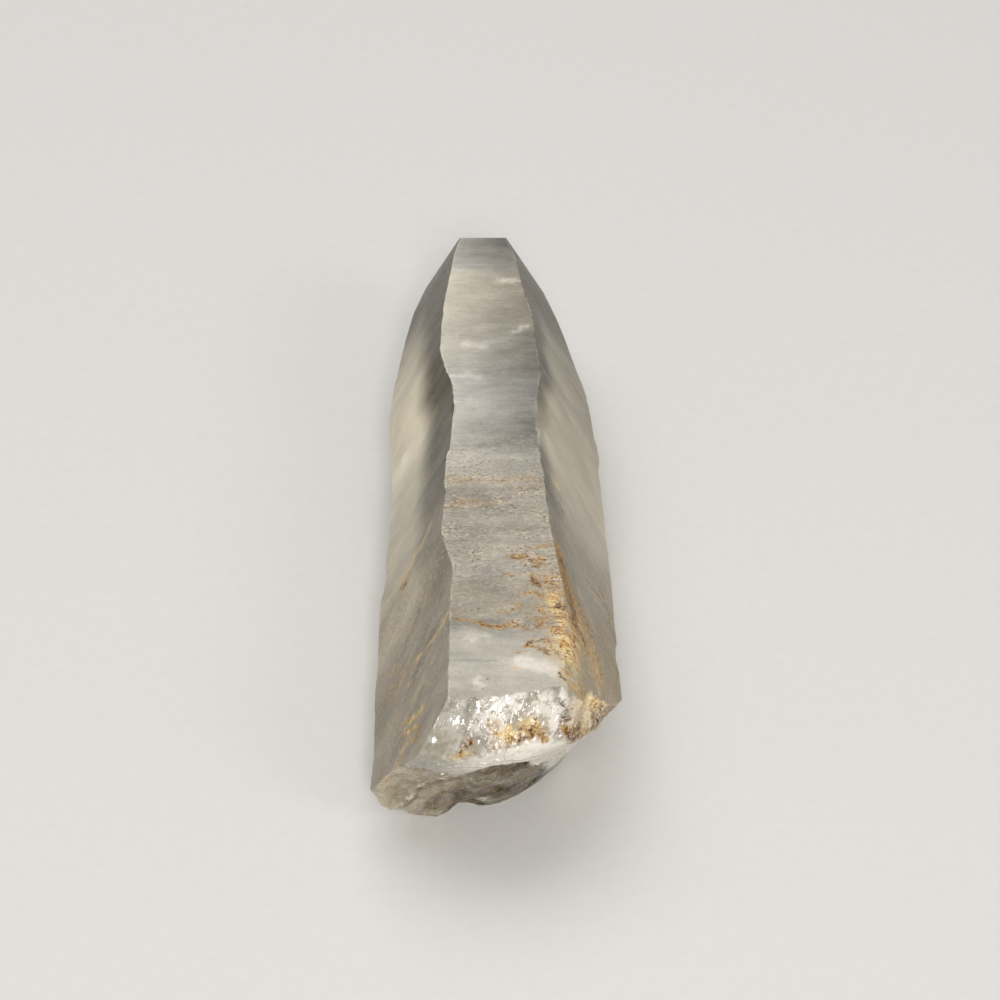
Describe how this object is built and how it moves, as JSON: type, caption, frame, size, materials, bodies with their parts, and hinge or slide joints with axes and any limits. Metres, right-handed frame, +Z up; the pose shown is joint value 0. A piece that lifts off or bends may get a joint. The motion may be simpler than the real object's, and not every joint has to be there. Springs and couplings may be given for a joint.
{
  "type": "rough quartz crystal",
  "caption": "Natural milky quartz crystal lying on one prism face: a tapering six-sided prism with a pointed end and a broken foot.",
  "frame": {"origin": "middle of the crystal's box, on the surface that it rests on", "axes": "+Y along the crystal's long (c) axis from the broken foot to the point, +Z up from the resting face, +X to the right seen from the foot"},
  "size_m": [0.0203, 0.0742, 0.0161],
  "materials": {
    "milky_quartz": "natural striated crystal faces, milky and translucent, with iron staining and a rough broken foot"
  },
  "bodies": {
    "root": {"quartz_crystal": "milky_quartz"}
  },
  "joints": []
}
